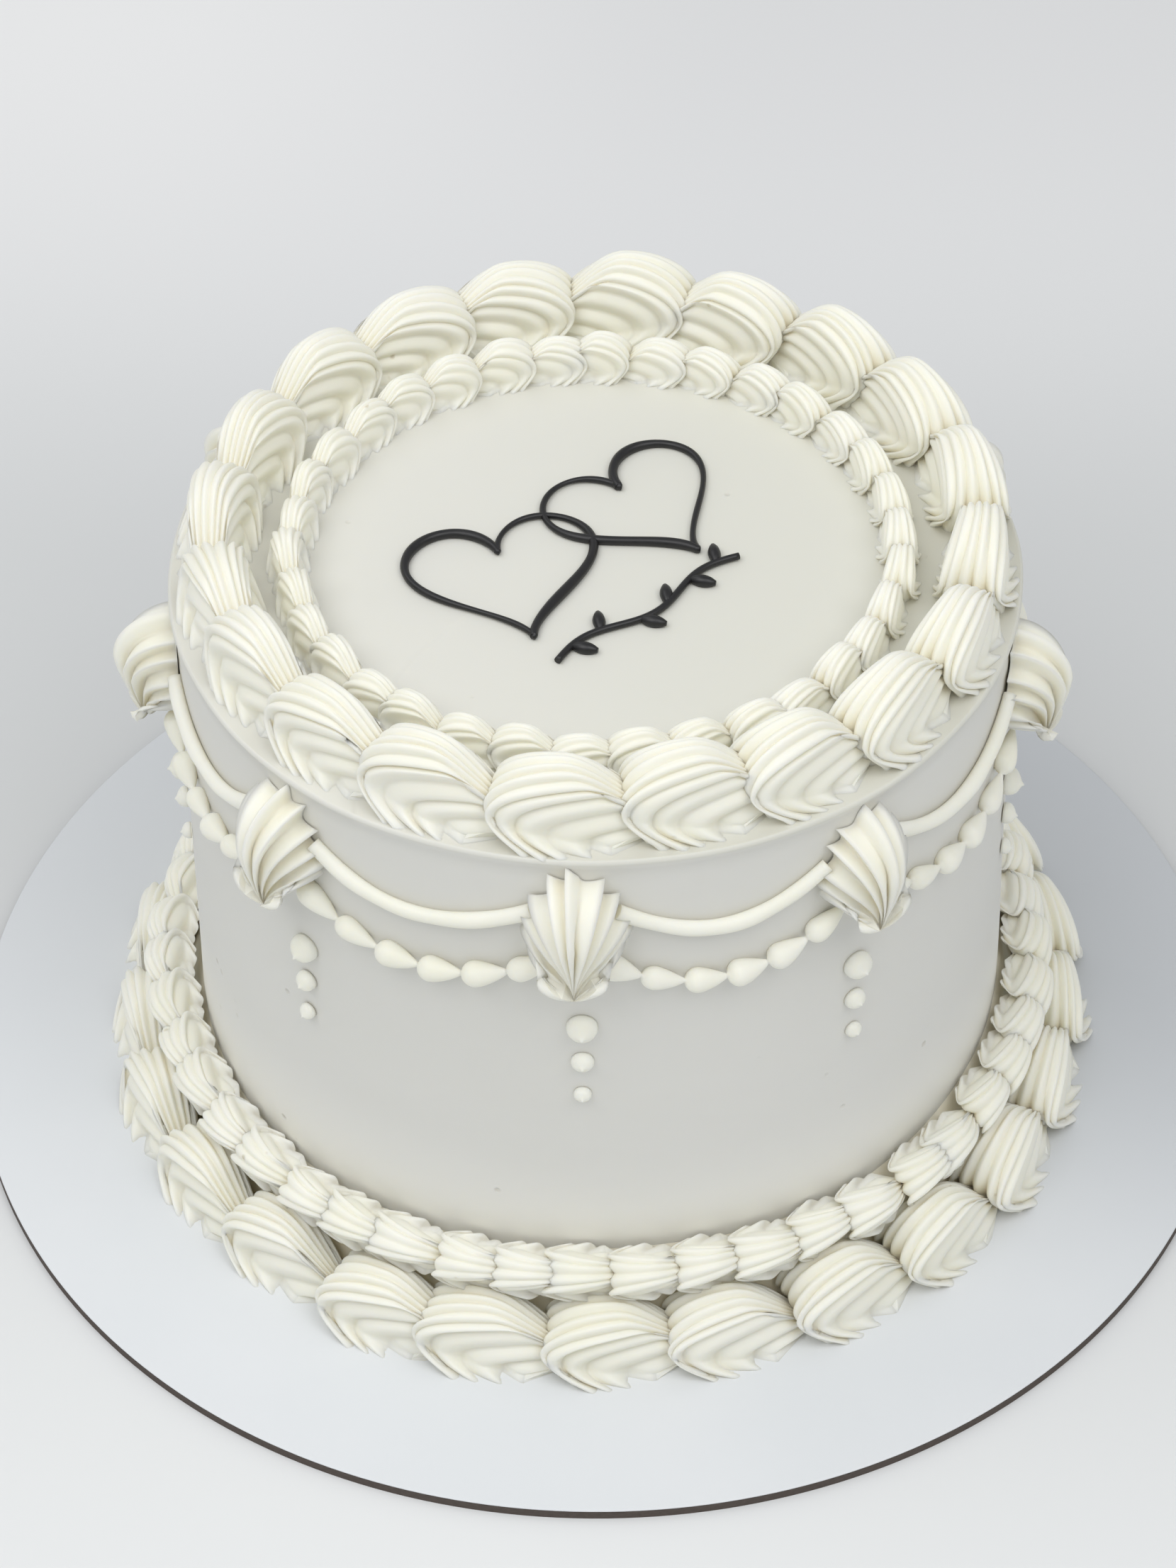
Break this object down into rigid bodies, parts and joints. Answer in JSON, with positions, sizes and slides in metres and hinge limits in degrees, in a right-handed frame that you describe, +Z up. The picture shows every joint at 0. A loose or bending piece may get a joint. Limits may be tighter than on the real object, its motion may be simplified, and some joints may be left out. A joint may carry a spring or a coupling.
{
  "type": "cake",
  "caption": "Tall round cream cake on a round white board, with piped shell borders, side drops with hung cords and bead chains, and a black line drawing on top.",
  "frame": {"origin": "centre of the underside of the round board, which stands on the floor", "axes": "+Z up along the cake's axis, -Y toward the side that the picture shows"},
  "size_m": [0.254, 0.254, 0.1406],
  "materials": {
    "cream": "satin piped butter cream",
    "smooth_coat": "satin smoothed butter cream",
    "white_board": "white coated fibre board with a bare dark edge",
    "black_icing": "satin black piping"
  },
  "bodies": {
    "root": {"board": "white_board", "cake": "smooth_coat", "top_outer_shells": "cream", "top_inner_shells": "cream", "base_outer_shells": "cream", "base_inner_shells": "cream", "drop_shell_1": "cream", "drop_shell_2": "cream", "drop_shell_3": "cream", "drop_shell_4": "cream", "drop_shell_5": "cream", "drop_shell_6": "cream", "drop_shell_7": "cream", "drop_shell_8": "cream", "drop_shell_9": "cream", "cord_1": "cream", "cord_2": "cream", "cord_3": "cream", "cord_4": "cream", "cord_5": "cream", "cord_6": "cream", "cord_7": "cream", "cord_8": "cream", "cord_9": "cream", "bead_chain_1": "cream", "bead_chain_2": "cream", "bead_chain_3": "cream", "bead_chain_4": "cream", "bead_chain_5": "cream", "bead_chain_6": "cream", "bead_chain_7": "cream", "bead_chain_8": "cream", "bead_chain_9": "cream", "linked_hearts": "black_icing", "leaf_sprig": "black_icing"}
  },
  "joints": []
}
